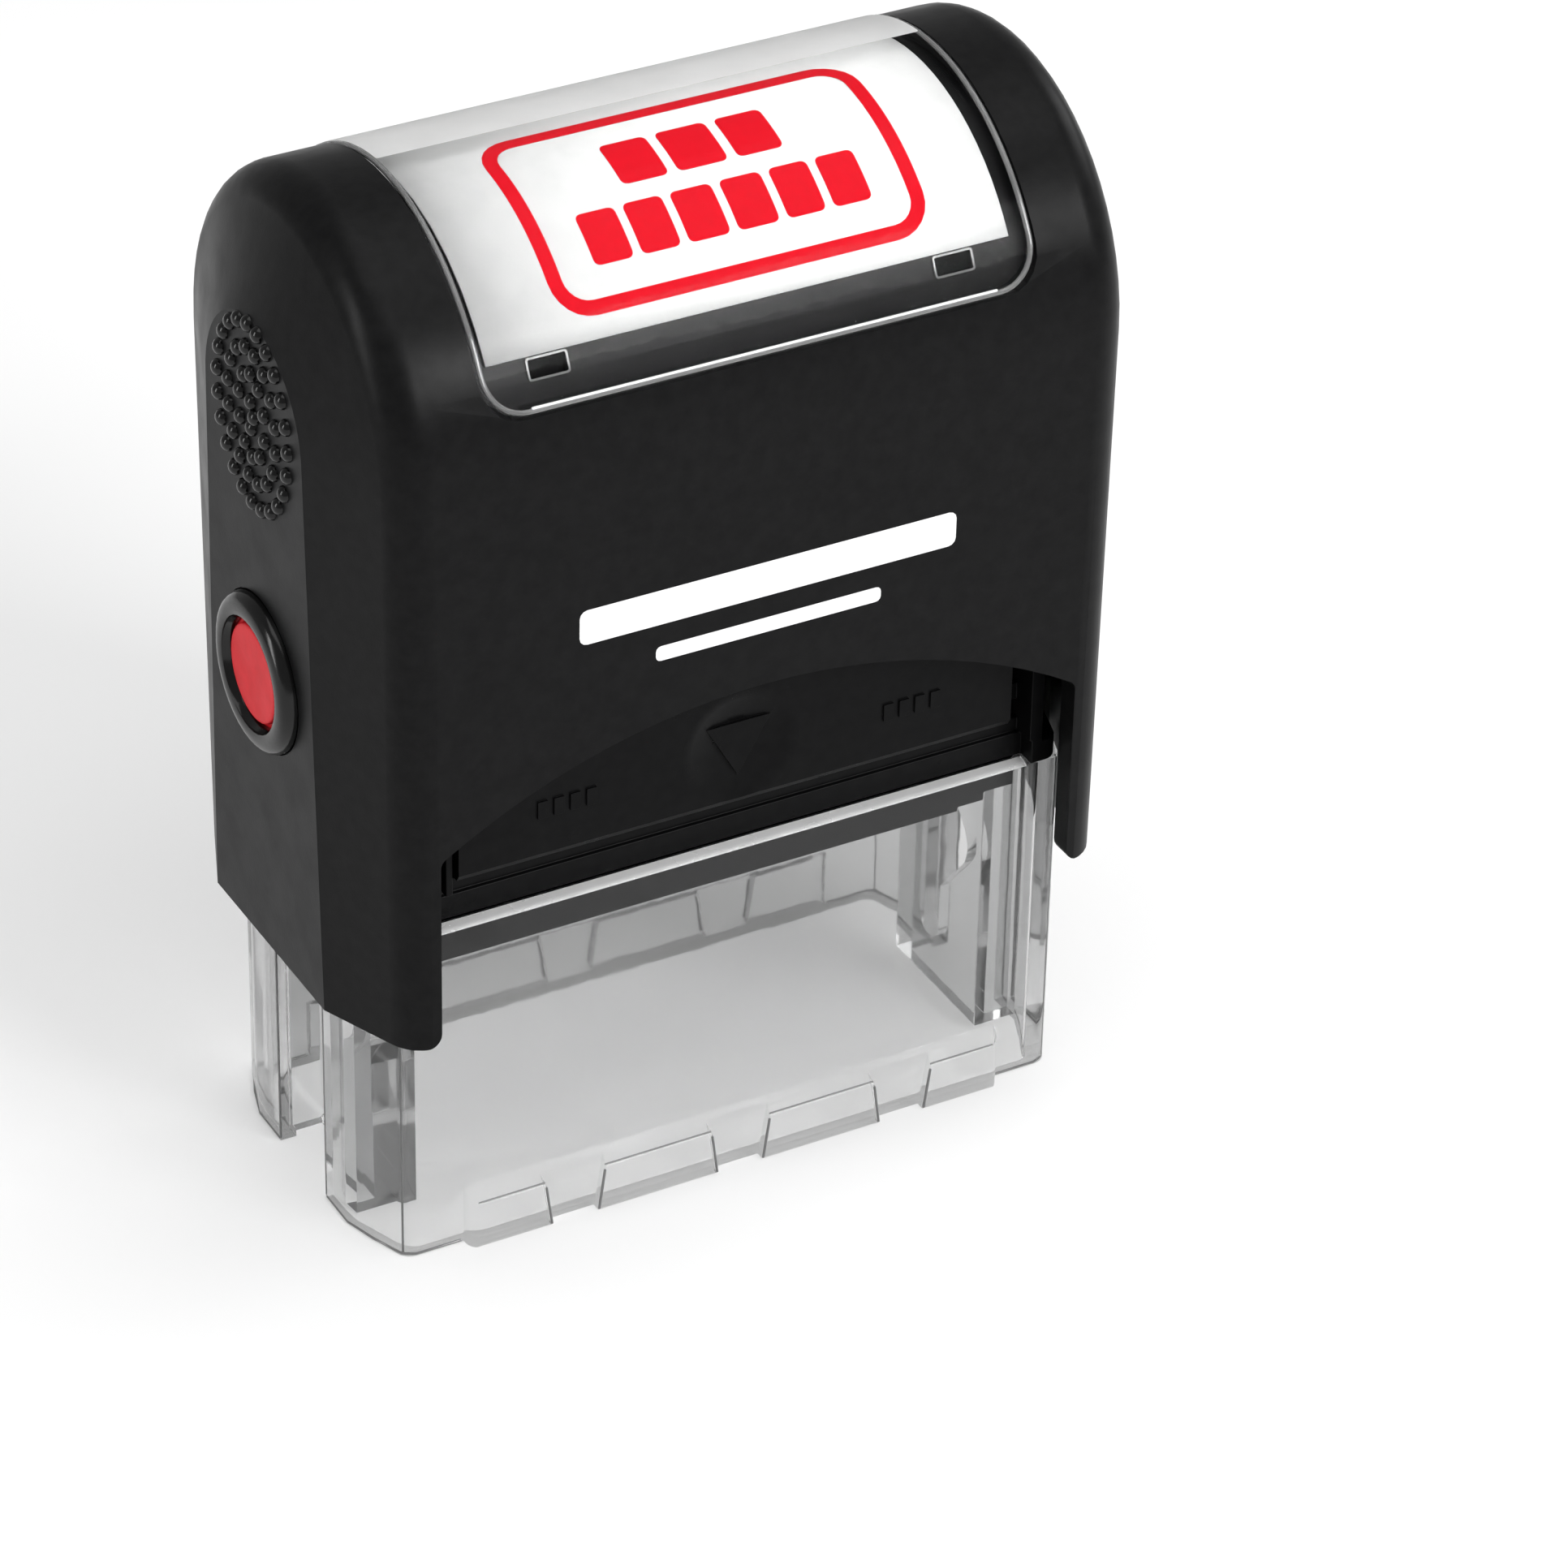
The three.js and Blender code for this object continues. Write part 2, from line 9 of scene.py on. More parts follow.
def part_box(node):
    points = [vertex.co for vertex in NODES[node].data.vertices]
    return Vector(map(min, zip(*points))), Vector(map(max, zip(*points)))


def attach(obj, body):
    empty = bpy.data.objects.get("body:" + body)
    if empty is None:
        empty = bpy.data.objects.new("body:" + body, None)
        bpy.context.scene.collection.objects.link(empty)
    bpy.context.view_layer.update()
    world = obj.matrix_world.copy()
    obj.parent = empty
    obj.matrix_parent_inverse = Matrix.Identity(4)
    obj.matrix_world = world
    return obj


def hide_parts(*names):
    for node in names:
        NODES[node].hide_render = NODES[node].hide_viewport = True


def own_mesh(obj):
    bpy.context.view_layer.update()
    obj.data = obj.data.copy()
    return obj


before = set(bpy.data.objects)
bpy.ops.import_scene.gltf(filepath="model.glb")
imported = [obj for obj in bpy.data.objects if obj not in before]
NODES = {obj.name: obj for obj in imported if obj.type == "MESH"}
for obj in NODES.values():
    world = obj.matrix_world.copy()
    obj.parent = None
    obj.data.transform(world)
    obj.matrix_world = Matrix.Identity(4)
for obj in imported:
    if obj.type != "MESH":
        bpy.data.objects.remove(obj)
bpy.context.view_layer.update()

MM = 0.001
SCENE = bpy.context.scene
FRONT_BACK = ((-1, "front"), (1, "back"))
LEFT_RIGHT = ((-1, "left"), (1, "right"))


# ---------------------------------------------------------------- shader helpers

NOISE_LOW, NOISE_HIGH = 0.3, 0.7  # most values of a noise texture lie between these


class Shader:
    """Builds one node material around a Principled shader."""

    def __init__(self, name, **values):
        self.material = bpy.data.materials.new(name)
        self.material.use_nodes = True
        self.tree = self.material.node_tree
        self.main = self.tree.nodes["Principled BSDF"]
        self.output = self.tree.nodes["Material Output"]
        for socket, value in values.items():
            self.main.inputs[socket.replace("_", " ")].default_value = value

    def node(self, kind, **settings):
        made = self.tree.nodes.new(kind)
        for key, value in settings.items():
            setattr(made, key, value)
        return made

    def link(self, source, target):
        self.tree.links.new(source, target)

    def noise(self, scale, detail=3.0, roughness=0.55, stretch=(1, 1, 1)):
        place = self.node("ShaderNodeTexCoord")
        mapping = self.node("ShaderNodeMapping")
        mapping.inputs["Scale"].default_value = stretch
        made = self.node("ShaderNodeTexNoise")
        made.inputs["Scale"].default_value = scale
        made.inputs["Detail"].default_value = detail
        made.inputs["Roughness"].default_value = roughness
        self.link(place.outputs["Object"], mapping.inputs["Vector"])
        self.link(mapping.outputs["Vector"], made.inputs["Vector"])
        return made.outputs["Fac"]

    def ramp(self, source, low, high):
        made = self.node("ShaderNodeValToRGB")
        first, last = made.color_ramp.elements
        first.position, first.color = NOISE_LOW, (*low, 1)
        last.position, last.color = NOISE_HIGH, (*high, 1)
        self.link(source, made.inputs["Fac"])
        return made.outputs["Color"]

    def spread(self, source, low, high):
        made = self.node("ShaderNodeMapRange")
        made.inputs["From Min"].default_value = NOISE_LOW
        made.inputs["From Max"].default_value = NOISE_HIGH
        made.inputs["To Min"].default_value = low
        made.inputs["To Max"].default_value = high
        self.link(source, made.inputs["Value"])
        return made.outputs["Result"]

    def colour(self, source, low, high):
        self.link(self.ramp(source, low, high), self.main.inputs["Base Color"])

    def rough(self, source, low, high):
        self.link(self.spread(source, low, high), self.main.inputs["Roughness"])

    def bump(self, source, depth):
        made = self.node("ShaderNodeBump")
        made.inputs["Strength"].default_value = 1
        made.inputs["Distance"].default_value = depth
        self.link(source, made.inputs["Height"])
        self.link(made.outputs["Normal"], self.main.inputs["Normal"])

    def lamps_pass(self, tint):
        """Lets lamp light through glass, which would otherwise cast a black shadow."""
        light = self.node("ShaderNodeLightPath")
        clear = self.node("ShaderNodeBsdfTransparent")
        clear.inputs["Color"].default_value = (*tint, 1)
        mix = self.node("ShaderNodeMixShader")
        self.link(light.outputs["Is Shadow Ray"], mix.inputs[0])
        self.link(self.main.outputs["BSDF"], mix.inputs[1])
        self.link(clear.outputs["BSDF"], mix.inputs[2])
        self.link(mix.outputs["Shader"], self.output.inputs["Surface"])


def moulded_black(name, low, high, gloss, grain, level):
    """gloss is the middle roughness, grain the bump depth in mm, level how much the surface mirrors."""
    made = Shader(name, Specular_IOR_Level=level)
    made.colour(made.noise(900, 4), low, high)
    made.rough(made.noise(260, 3), gloss - 0.04, gloss + 0.05)
    made.bump(made.noise(5200, 2), grain * MM)
    return made.material


def clear_plastic(name, tint, passed, haze, scratch, bend):
    """passed is what lamp light keeps on its way through, haze the share of light that is scattered."""
    made = Shader(name, Transmission_Weight=1 - haze, IOR=bend)
    made.colour(made.noise(240, 3), tuple(0.985 * c for c in tint), tint)
    made.rough(made.noise(160, 4), scratch * 0.4, scratch)
    made.bump(made.noise(420, 2), 0.012 * MM)
    made.lamps_pass(passed)
    return made.material


def soft_matter(name, low, high, cell, depth):
    made = Shader(name, Specular_IOR_Level=0.2)
    made.colour(made.noise(cell, 5, 0.7), low, high)
    made.rough(made.noise(cell, 2), 0.85, 0.97)
    made.bump(made.noise(cell * 1.5, 4, 0.7), depth * MM)
    return made.material


def painted_clear_edge(name, tint, gloss):
    """A rounded clear edge whose tint paints the light or shade on it: a pale tint is a painted highlight, a
    dark tint painted edge shade.
    """
    made = Shader(name, Transmission_Weight=0.35, IOR=1.45)
    made.colour(made.noise(500, 3), tuple(0.94 * c for c in tint), tint)
    made.rough(made.noise(300, 3), gloss - 0.03, gloss + 0.05)
    made.bump(made.noise(900, 2), 0.01 * MM)
    made.lamps_pass((0.8, 0.8, 0.8))
    return made.material


# A matte grey sheet: painted reflection on the back of the window, where it turns away at a grazing angle.
def painted_back_reflection():
    made = Shader("window_back_painted_reflection", Transmission_Weight=0.55, IOR=1.03, Specular_IOR_Level=0.0)
    made.colour(made.noise(300, 3), (0.66, 0.66, 0.658), (0.7, 0.7, 0.698))
    made.rough(made.noise(300, 3), 0.6, 0.7)
    made.bump(made.noise(2000, 3), 0.004 * MM)
    made.lamps_pass((0.95, 0.95, 0.95))
    return made.material


def red_button():
    made = Shader("red_button", Specular_IOR_Level=0.12)
    made.colour(made.noise(700, 3), (0.5, 0.008, 0.014), (0.58, 0.012, 0.02))
    made.rough(made.noise(300, 3), 0.36, 0.46)
    made.bump(made.noise(4000, 2), 0.004 * MM)
    return made.material


def bright_steel():
    made = Shader("bright_steel", Metallic=1.0)
    made.colour(made.noise(1200, 3, stretch=(1, 1, 6)), (0.5, 0.5, 0.51), (0.66, 0.66, 0.67))
    made.rough(made.noise(2400, 3, stretch=(1, 1, 8)), 0.2, 0.34)
    made.bump(made.noise(3000, 3, stretch=(1, 1, 8)), 0.003 * MM)
    return made.material


def card_paper():
    made = Shader("card_paper", Specular_IOR_Level=0.08)
    made.colour(made.noise(520, 5, 0.65), (0.47, 0.47, 0.467), (0.5, 0.5, 0.497))
    made.rough(made.noise(900, 4), 0.6, 0.75)
    made.bump(made.noise(2600, 4), 0.006 * MM)
    return made.material


def printed(name, low, high):
    made = Shader(name, Specular_IOR_Level=0.02)
    made.colour(made.noise(1600, 5, 0.7), low, high)
    made.rough(made.noise(900, 3), 0.5, 0.62)
    made.bump(made.noise(2600, 3), 0.003 * MM)
    return made.material


BLACK = moulded_black(
    "black_plastic", (0.0042, 0.0042, 0.0044), (0.0066, 0.0066, 0.0068), gloss=0.34, grain=0.004, level=0.075)
INNER = moulded_black(
    "inner_black", (0.003, 0.003, 0.0032), (0.0046, 0.0046, 0.0048), gloss=0.3, grain=0.003, level=0.06)
GLOSS_BLACK = moulded_black(
    "gloss_black", (0.002, 0.002, 0.002), (0.0034, 0.0034, 0.0034), gloss=0.17, grain=0.002, level=0.3)
SKIRT_CLEAR = clear_plastic(
    "skirt_clear", (0.67, 0.672, 0.672), passed=(0.88, 0.88, 0.88), haze=0.02, scratch=0.09, bend=1.19)
WINDOW_CLEAR = clear_plastic(
    "window_clear", (0.975, 0.98, 0.98), passed=(0.97, 0.97, 0.97), haze=0.0, scratch=0.05, bend=1.06)
# Dark edge tint: painted shade along the window's rim and round the catch pockets.
WINDOW_RIM_SHADE = painted_clear_edge("window_rim", (0.14, 0.14, 0.14), 0.1)
# Pale edge tint: painted highlight along the window's lower edge.
WINDOW_FOOT_HIGHLIGHT = painted_clear_edge("window_foot", (0.85, 0.85, 0.85), 0.15)
# Dark edge tint: painted shade along the skirt's edges, notches and foot.
SKIRT_EDGE_SHADE = painted_clear_edge("skirt_edge_shade", (0.2, 0.2, 0.2), 0.2)
# Pale edge tint: painted highlight on the skirt's top edge.
SKIRT_RIM_HIGHLIGHT = painted_clear_edge("skirt_rim_highlight", (0.85, 0.85, 0.85), 0.25)
RED = red_button()
STEEL = bright_steel()
CARD = card_paper()
# Matte grey: painted reflection over the back of the window.
BACK_REFLECTION_PAINT = painted_back_reflection()
RED_INK = printed("red_ink", (0.35, 0.003, 0.008), (0.385, 0.004, 0.01))
WHITE_INK = printed("white_ink", (0.78, 0.78, 0.78), (0.86, 0.86, 0.86))
INK_FOAM = soft_matter("ink_foam", (0.16, 0.004, 0.01), (0.34, 0.012, 0.024), 1500, 0.05)
GREY_FOAM = soft_matter("grey_foam", (0.1, 0.1, 0.105), (0.2, 0.2, 0.205), 1500, 0.05)
RUBBER = soft_matter("text_rubber", (0.3, 0.05, 0.035), (0.42, 0.08, 0.055), 900, 0.01)

FINISH = {
    "black_plastic": BLACK, "inner_black": INNER, "clear_plastic": SKIRT_CLEAR, "red_plastic": RED,
    "spring_steel": STEEL, "card": CARD, "ink_foam": INK_FOAM, "grey_foam": GREY_FOAM,
    "text_rubber": RUBBER,
}


# ---------------------------------------------------------------- CAD nodes with finished edges

# node: (edge radius in mm, angle above which an edge is rounded)
EDGES = {
    "cap_shell": (0.3, 15), "index_window": (0.16, 25), "base_skirt": (0.18, 25), "base_frame": (0.15, 25),
    "ink_pad_tray": (0.15, 25), "spring_seat": (0.1, 35), "die_carrier": (0.12, 25),
    "rubber_text_plate": (0.06, 35), "left_flip_arm": (0.1, 35), "right_flip_arm": (0.1, 35),
    "left_lock_button": (0.06, 35), "right_lock_button": (0.06, 35), "left_axle_pin": (0.1, 35),
    "right_axle_pin": (0.1, 35), "left_button_ring": (0.04, 50), "right_button_ring": (0.04, 50),
}


def finish_node(name):
    piece = NODES[name]
    mesh = piece.data
    if "custom_normal" in mesh.attributes:
        mesh.attributes.remove(mesh.attributes["custom_normal"])
    mesh.shade_smooth()
    weld = piece.modifiers.new("weld", "WELD")
    weld.merge_threshold = 1e-6
    radius, angle = EDGES.get(name, (0, 35))
    if radius:
        flat = piece.modifiers.new("flats", "DECIMATE")
        flat.decimate_type = "DISSOLVE"
        flat.angle_limit = math.radians(0.3)
        edge = piece.modifiers.new("edges", "BEVEL")
        edge.limit_method = "ANGLE"
        edge.angle_limit = math.radians(angle)
        edge.width = radius * MM
        edge.segments = 3
        edge.harden_normals = False
        edge.miter_outer = "MITER_ARC"
        normals = piece.modifiers.new("normals", "WEIGHTED_NORMAL")
        normals.keep_sharp = True
    slot = piece.data.materials[0].name.split(".")[0]
    piece.data.materials[0] = FINISH[slot]


for node in NODES:
    finish_node(node)
NODES["index_window"].data.materials[0] = WINDOW_CLEAR
for side, where in LEFT_RIGHT:
    NODES[where + "_button_ring"].data.materials[0] = GLOSS_BLACK


# ---------------------------------------------------------------- mesh helpers

SLAB_EDGE = 0.08 * MM
TUBE_AROUND = 10  # points round a tube, a rod and a spring wire
ROD_AROUND = 8
WIRE_AROUND = 10
NO_ROD_WAY = Vector((0.31, 0.17, 0.93))  # a direction that no rod runs along


def surface(node):
    mesh = NODES[node].data
    return BVHTree.FromPolygons([v.co for v in mesh.vertices], [p.vertices for p in mesh.polygons])


def add_piece(name, points, faces, material, body):
    mesh = bpy.data.meshes.new(name)
    mesh.from_pydata([tuple(p) for p in points], [], faces)
    made = bmesh.new()
    made.from_mesh(mesh)
    bmesh.ops.recalc_face_normals(made, faces=made.faces)
    made.to_mesh(mesh)
    made.free()
    mesh.shade_smooth()
    mesh.set_sharp_from_angle(angle=math.radians(35))
    mesh.materials.append(material)
    piece = bpy.data.objects.new(name, mesh)
    SCENE.collection.objects.link(piece)
    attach(piece, body)
    return piece


def slab(name, low, high, material, body):
    """A box between two corners in millimetres, with its edges rounded a little."""
    mesh = bpy.data.meshes.new(name)
    shape = bmesh.new()
    bmesh.ops.create_cube(shape, size=1)
    for vertex in shape.verts:
        vertex.co = Vector([low[i] if vertex.co[i] < 0 else high[i] for i in range(3)]) * MM
    bmesh.ops.bevel(shape, geom=shape.edges, offset=SLAB_EDGE, segments=2, affect="EDGES", profile=0.5)
    shape.to_mesh(mesh)
    shape.free()
    mesh.materials.append(material)
    piece = bpy.data.objects.new(name, mesh)
    SCENE.collection.objects.link(piece)
    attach(piece, body)
    return piece


def rounded_rectangle(width, height, radius, steps=6):
    """Corner points, counter-clockwise, centred on the origin."""
    points = []
    for corner, (sx, sy) in enumerate(((1, 1), (-1, 1), (-1, -1), (1, -1))):
        for i in range(steps + 1):
            angle = math.radians(90 * corner + 90 * i / steps)
            points.append((sx * (width / 2 - radius) + radius * math.cos(angle),
                           sy * (height / 2 - radius) + radius * math.sin(angle)))
    return points


def subdivided(points, step):
    """The outline with no stretch longer than step."""
    made = []
    for a, b in zip(points, points[1:] + points[:1]):
        count = max(1, math.ceil(math.dist(a, b) / step))
        made += [(a[0] + (b[0] - a[0]) * i / count, a[1] + (b[1] - a[1]) * i / count) for i in range(count)]
    return made


def join_rings(faces, start, rings, count):
    """Adds the faces between neighbouring rings of count points each."""
    for i in range(rings - 1):
        for k in range(count):
            a, b = start + i * count + k, start + i * count + (k + 1) % count
            faces.append((a, b, b + count, a + count))


def close_ends(faces, start, rings, count):
    """Adds a face over the first ring and one over the last."""
    last = start + (rings - 1) * count
    faces.append(tuple(range(start, start + count)))
    faces.append(tuple(range(last, last + count)))


class Plates:
    """Collects thin closed plates drawn in a flat plane and laid on a surface."""

    def __init__(self, place, thickness):
        self.place = place
        self.thickness = thickness
        self.points = []
        self.faces = []

    def strip(self, outer, inner):
        """A plate between two outlines with the same number of points."""
        start = len(self.points)
        count = len(outer)
        for level in (0, self.thickness):
            self.points += [self.place(u, v, level) for u, v in outer]
            self.points += [self.place(u, v, level) for u, v in inner]
        for i in range(count):
            j = (i + 1) % count
            a, b = start + i, start + j
            self.faces += [
                (a, b, b + count, a + count),
                (a + 2 * count, a + 3 * count, b + 3 * count, b + 2 * count),
                (a, a + 2 * count, b + 2 * count, b),
                (a + count, b + count, b + 3 * count, a + 3 * count),
            ]

    def bar(self, x0, x1, y0, y1, radius, step=0.7 * MM):
        """A filled rounded rectangle made of columns, so that it can bend."""
        start = len(self.points)
        count = max(2, math.ceil((x1 - x0) / step))
        stations = sorted({x0 + (x1 - x0) * i / count for i in range(count + 1)}
                          | {x0 + radius * (1 - math.cos(math.radians(a))) for a in (0, 30, 60, 90)}
                          | {x1 - radius * (1 - math.cos(math.radians(a))) for a in (0, 30, 60, 90)})
        rows = max(2, math.ceil((y1 - y0) / step))
        columns = []
        for x in stations:
            near = min(x - x0, x1 - x)
            inset = 0.0
            if near < radius:
                inset = radius - math.sqrt(max(0.0, radius ** 2 - (radius - near) ** 2))
            columns.append([(x, y0 + inset + (y1 - y0 - 2 * inset) * r / rows) for r in range(rows + 1)])
        high, wide = rows + 1, len(columns)
        for level in (0, self.thickness):
            for column in columns:
                self.points += [self.place(u, v, level) for u, v in column]
        layer = high * wide
        for c in range(wide - 1):
            for r in range(rows):
                a = start + c * high + r
                self.faces.append((a, a + 1, a + high + 1, a + high))
                b = a + layer
                self.faces.append((b, b + high, b + high + 1, b + 1))
        rim = [c * high for c in range(wide)]
        rim += [(wide - 1) * high + r for r in range(1, high)]
        rim += [c * high + rows for c in range(wide - 2, -1, -1)]
        rim += [r for r in range(rows - 1, 0, -1)]
        for i, k in enumerate(rim):
            m = rim[(i + 1) % len(rim)]
            self.faces.append((start + k, start + m, start + m + layer, start + k + layer))

    def build(self, name, material, body):
        return add_piece(name, self.points, self.faces, material, body)


# ---------------------------------------------------------------- label print

CARD_SURFACE = surface("index_card")


def card_arc():
    """Radius and centre height of the card's outer face."""
    reach = 10 * MM
    down = Vector((0, 0, -1))
    top, lower = (CARD_SURFACE.ray_cast(Vector((1 * MM, y, 200 * MM)), down)[0].z for y in (0, reach))
    drop = top - lower
    radius = (drop ** 2 + reach ** 2) / (2 * drop)
    return radius, top - radius


CARD_R, CARD_Z = card_arc()
PRINT_FROM, PRINT_TO = 36.7, 94.3  # degrees up the front of the arch
PRINT_W = 29.3 * MM
PRINT_H = CARD_R * math.radians(PRINT_TO - PRINT_FROM)
PRINT_CORNER_R = 2.9 * MM
PRINT_X = 0.35 * MM
STROKE = 1.08 * MM
INK = 0.02 * MM  # thickness of a printed layer
CLEAR_OF = 0.004 * MM  # gap under a printed layer
BLOCK_H, BLOCK_R = 4.0 * MM, 0.45 * MM
ROW_RISE = 2.75 * MM  # from the middle of the print to the middle of either row
UPPER_BLOCKS, UPPER_GAP = [width * MM for width in (3.6, 3.9, 3.6)], 0.75 * MM
LOWER_BLOCKS, LOWER_GAP = [width * MM for width in (3.0, 3.0, 3.2, 3.2, 3.0, 3.0)], 0.65 * MM


def on_arch(x, angle, radius):
    """A point on an arch round the card's axis; the angle runs up from the front."""
    return (x, -radius * math.cos(angle), CARD_Z + radius * math.sin(angle))


def on_card(u, v, level):
    """u to the right and v up the arch from the middle of the print."""
    angle = math.radians((PRINT_FROM + PRINT_TO) / 2) + v / CARD_R
    return on_arch(PRINT_X + u, angle, CARD_R + CLEAR_OF + level)


def inside_stroke(outline):
    """The inner outline of the printed frame, one stroke in from the outer one."""
    made = []
    for u, v in outline:
        past_u = max(abs(u) - (PRINT_W / 2 - PRINT_CORNER_R), 0)
        past_v = max(abs(v) - (PRINT_H / 2 - PRINT_CORNER_R), 0)
        past = math.hypot(past_u, past_v)
        made.append((u - math.copysign(STROKE * past_u / past, u),
                     v - math.copysign(STROKE * past_v / past, v)))
    return made


def word_blocks(plates, widths, middle, gap):
    """A row of plain blocks, in place of a printed word."""
    x = -(sum(widths) + gap * (len(widths) - 1)) / 2
    for width in widths:
        plates.bar(x, x + width, middle - BLOCK_H / 2, middle + BLOCK_H / 2, BLOCK_R)
        x += width + gap


label = Plates(on_card, INK)
frame_outline = subdivided(rounded_rectangle(PRINT_W, PRINT_H, PRINT_CORNER_R), 0.8 * MM)
label.strip(frame_outline, inside_stroke(frame_outline))
word_blocks(label, UPPER_BLOCKS, ROW_RISE, UPPER_GAP)
word_blocks(label, LOWER_BLOCKS, -ROW_RISE, LOWER_GAP)
label.build("label_print", RED_INK, "cap")


# ---------------------------------------------------------------- window rim and foot painted as edge shade and highlight, painted back reflection, catch outlines

WINDOW_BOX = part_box("index_window")
WINDOW_R = WINDOW_BOX[1][2] - CARD_Z
WINDOW_LOW = 70.5 * MM
CORNER_R = 3 * MM
RIM_R = 0.2 * MM
RIM_SINK = 0.21 * MM
RIM_PATH_R = WINDOW_R - RIM_SINK
RIM_HALF = WINDOW_BOX[1][0] - RIM_R
RIM_LOW = WINDOW_LOW + RIM_R
RIM_STEPS = 24  # from the top of the arch to a corner
FOOT_HALF_X, FOOT_HALF_Y = 18.2, 0.1  # millimetres
FOOT_LOW, FOOT_HIGH = 0.05, 0.5  # millimetres over the window's lower edge


def tube(name, path, radius, material, body):
    """A closed round bar along a closed path on the arch."""
    points, faces = [], []
    count = len(path)
    for i, middle in enumerate(path):
        along = (path[(i + 1) % count] - path[i - 1]).normalized()
        out = Vector((0, middle.y, middle.z - CARD_Z)).normalized()
        across = along.cross(out).normalized()
        out = across.cross(along).normalized()
        for k in range(TUBE_AROUND):
            turn = 2 * math.pi * k / TUBE_AROUND
            points.append(middle + across * radius * math.cos(turn) + out * radius * math.sin(turn))
    for i in range(count):
        for k in range(TUBE_AROUND):
            a, b = i * TUBE_AROUND + k, i * TUBE_AROUND + (k + 1) % TUBE_AROUND
            c, d = (a + TUBE_AROUND) % len(points), (b + TUBE_AROUND) % len(points)
            faces.append((a, b, d, c))
    return add_piece(name, points, faces, material, body)


def on_window(x, z, side):
    return Vector((x, side * math.sqrt(max(RIM_PATH_R ** 2 - (z - CARD_Z) ** 2, 0)), z))


def right_edge():
    """(x, z) from the top of the arch down the right edge of the window and round its lower corner."""
    corner = [(RIM_HALF - CORNER_R + CORNER_R * math.cos(math.radians(a)),
               RIM_LOW + CORNER_R - CORNER_R * math.sin(math.radians(a))) for a in range(0, 91, 10)]
    top = math.pi / 2
    reach = math.asin((corner[0][1] - CARD_Z) / RIM_PATH_R)
    angles = [top + (reach - top) * i / RIM_STEPS for i in range(RIM_STEPS)]
    return [(RIM_HALF, CARD_Z + RIM_PATH_R * math.sin(angle)) for angle in angles] + corner


def half_rim(side):
    """Down the right edge, along the foot and up the left edge, on the front or the back."""
    edge = right_edge()
    return ([on_window(x, z, side) for x, z in edge]
            + [on_window(-x, z, side) for x, z in reversed(edge)])


# The rim tube's dark tint is painted shade along the window's rounded edge; its highlights come from the
# lamps.
tube("window_rim", half_rim(-1)[:-1] + half_rim(1)[:0:-1], RIM_R, WINDOW_RIM_SHADE, "window")

# A pale bar along the window's lower edge, front and back: painted highlight on the window's foot.
for side, where in FRONT_BACK:
    foot_y = on_window(0, RIM_LOW, side).y / MM
    slab("window_" + where + "_foot",
         (-FOOT_HALF_X, foot_y - FOOT_HALF_Y, WINDOW_LOW / MM + FOOT_LOW),
         (FOOT_HALF_X, foot_y + FOOT_HALF_Y, WINDOW_LOW / MM + FOOT_HIGH),
         WINDOW_FOOT_HIGHLIGHT, "window")

SHADE_FROM, SHADE_TO = 93.2, 146  # degrees up the front of the arch
SHADE_W = 42.6 * MM
SHADE_H = WINDOW_R * math.radians(SHADE_TO - SHADE_FROM)


def on_back(u, v, level):
    """u to the right and v up the arch from the middle of the grey band painted over the back of the window.
    """
    angle = math.radians((SHADE_FROM + SHADE_TO) / 2) + v / WINDOW_R
    return on_arch(u, angle, WINDOW_R + CLEAR_OF + level)


# A thin grey plate over the back of the window: painted reflection.
shade = Plates(on_back, INK)
shade.bar(-SHADE_W / 2, SHADE_W / 2, -SHADE_H / 2, SHADE_H / 2, 0.2 * MM, 0.8 * MM)
shade.build("window_frosting", BACK_REFLECTION_PAINT, "window")

CATCH_X, CATCH_Y = 15.85 * MM, 13.9 * MM
CATCH_T = 0.12 * MM
RECESS_R = CARD_R - 0.28 * MM


def on_recess(hand, face):
    """Lays a catch just over its recess floor, u along X and v up the arch from its middle."""
    def place(u, v, level):
        angle = math.acos(CATCH_Y / RECESS_R) + v / RECESS_R
        x, y, z = on_arch(u + hand * CATCH_X, angle, RECESS_R + 0.03 * MM + level)
        return (x, -face * y, z)
    return place


# Each catch is drawn as a thin ring in the dark edge tint: painted shade outlining its pocket.
for hand, left_or_right in LEFT_RIGHT:
    for face, front_or_back in FRONT_BACK:
        catch = Plates(on_recess(hand, face), CATCH_T)
        catch.strip(
            rounded_rectangle(3.2 * MM, 1.6 * MM, 0.25 * MM),
            rounded_rectangle(2.9 * MM, 1.3 * MM, 0.12 * MM))
        catch.build(left_or_right + "_" + front_or_back + "_catch", WINDOW_RIM_SHADE, "window")


# ---------------------------------------------------------------- top edge with a painted highlight, and edge lines of painted shade, on the skirt

SKIRT_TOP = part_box("base_skirt")[1][2]
LIP_HALF = 24.3
LIP_STEPS = 12
# y from the middle and z from the top of the skirt, in millimetres
LIP_PROFILE = [(12.15, 0.02), (12.9, 0.04), (13.15, 0.0), (13.3, -0.12), (13.2, -0.2), (12.15, -0.1)]


# A pale clear strip along the skirt's top edge: painted highlight.
def skirt_lip(side, name):
    points, faces = [], []
    for i in range(LIP_STEPS + 1):
        x = (-LIP_HALF + 2 * LIP_HALF * i / LIP_STEPS) * MM
        points += [(x, side * y * MM, SKIRT_TOP + z * MM) for y, z in LIP_PROFILE]
    join_rings(faces, 0, LIP_STEPS + 1, len(LIP_PROFILE))
    close_ends(faces, 0, LIP_STEPS + 1, len(LIP_PROFILE))
    add_piece(name, points, faces, SKIRT_RIM_HIGHLIGHT, "base")


